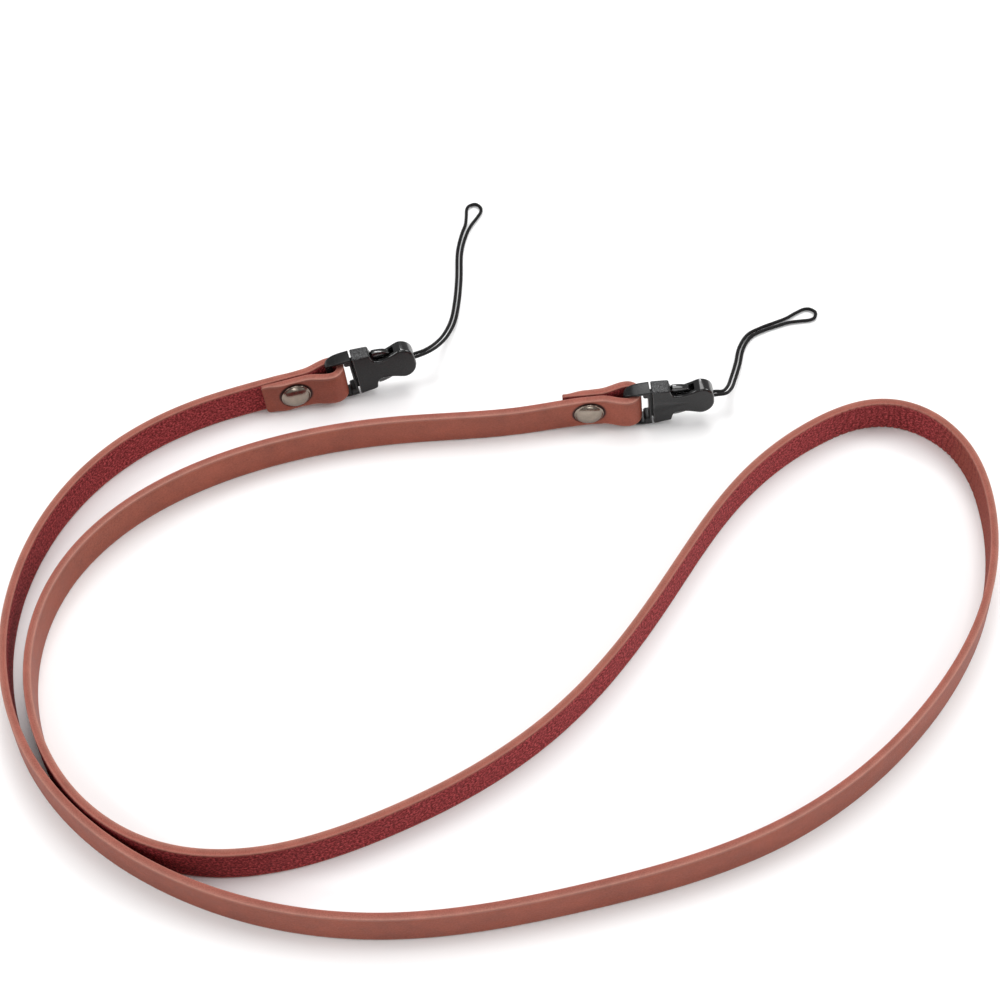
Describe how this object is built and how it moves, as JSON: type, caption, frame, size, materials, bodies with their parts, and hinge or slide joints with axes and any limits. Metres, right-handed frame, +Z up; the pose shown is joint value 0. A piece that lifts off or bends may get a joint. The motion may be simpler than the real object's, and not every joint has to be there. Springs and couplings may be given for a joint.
{
  "type": "camera neck strap",
  "caption": "Narrow leather camera neck strap lying in a loose loop on its edge, with a side-release clasp and a thin cord loop at each folded and riveted end.",
  "frame": {"origin": "on the surface under the middle of the strap and clasps' outline, cords left out", "axes": "+Z up, the strap's long curve spread along X, both clasps at +Y with their noses towards +X"},
  "size_m": [0.2332, 0.2189, 0.0143],
  "materials": {
    "leather": "smooth reddish brown grain outside, dark red suede inside",
    "rivet_metal": "polished dark nickel",
    "clasp_plastic": "black, half gloss",
    "cord_fabric": "black braided cord"
  },
  "bodies": {
    "root": {"strap": "leather", "rivet_cap_left": "rivet_metal", "rivet_post_left": "rivet_metal", "clasp_loop_left": "clasp_plastic", "clasp_body_left": "clasp_plastic", "cord_left": "cord_fabric", "rivet_cap_right": "rivet_metal", "rivet_post_right": "rivet_metal", "clasp_loop_right": "clasp_plastic", "clasp_body_right": "clasp_plastic", "cord_right": "cord_fabric"}
  },
  "joints": []
}
